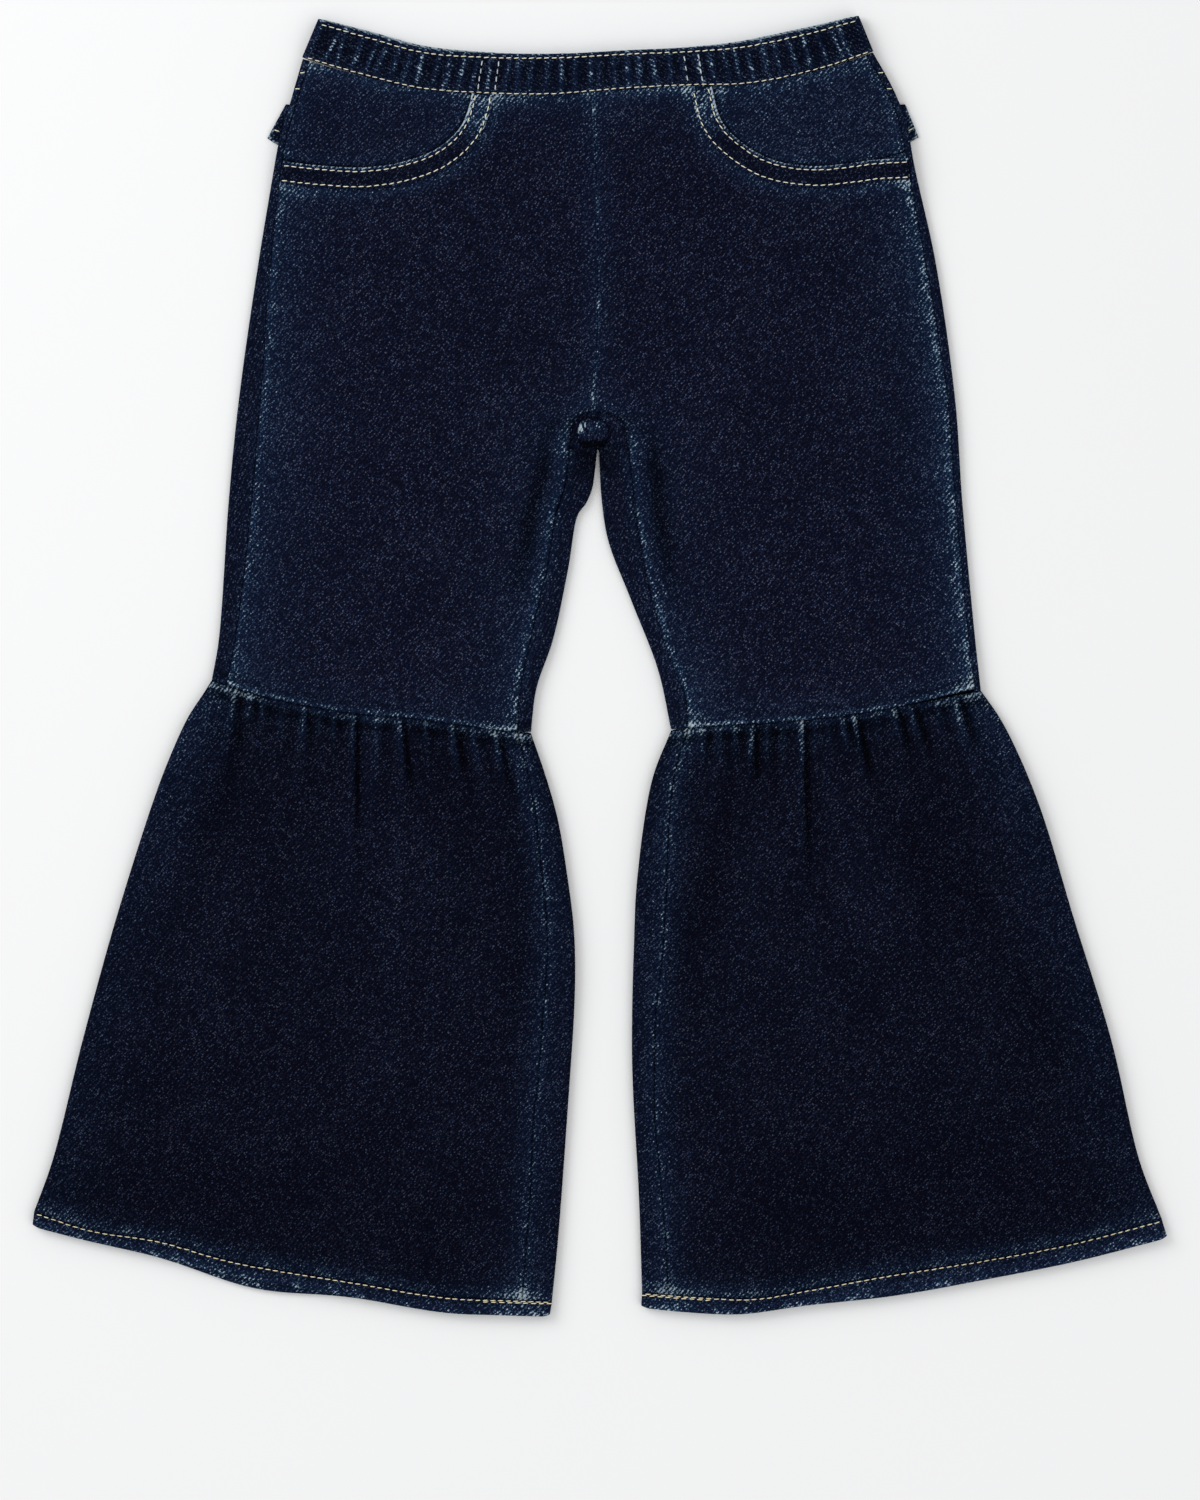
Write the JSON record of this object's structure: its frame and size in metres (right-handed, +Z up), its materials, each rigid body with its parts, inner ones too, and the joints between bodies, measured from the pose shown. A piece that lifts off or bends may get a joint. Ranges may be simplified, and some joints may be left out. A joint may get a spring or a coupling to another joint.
{
  "type": "flared jeans",
  "caption": "Toddler's pull-on flared jeans in dark denim with an elastic waist, mock front pockets and gathered flares, laid flat.",
  "frame": {"origin": "on the surface that the jeans lie on, under the middle of their outline", "axes": "+Z up out of the front of the jeans, +Y towards the waist, +X to the right as seen from the front"},
  "size_m": [0.4534, 0.5203, 0.007],
  "materials": {
    "denim": "dark indigo twill, faded along seams and hems",
    "denim_waist": "dark indigo twill, faded on the gathers",
    "thread": "matt cream-yellow topstitching thread"
  },
  "bodies": {
    "root": {"waistband": "denim_waist", "hip_left": "denim", "hip_right": "denim", "pocket_edge_left": "denim", "pocket_edge_right": "denim", "front_left": "denim", "front_right": "denim", "back_left": "denim", "back_right": "denim", "back_frill": "denim", "crotch_roll": "denim", "flare_left": "denim", "flare_right": "denim", "hem_left": "denim", "hem_right": "denim"}
  },
  "joints": []
}
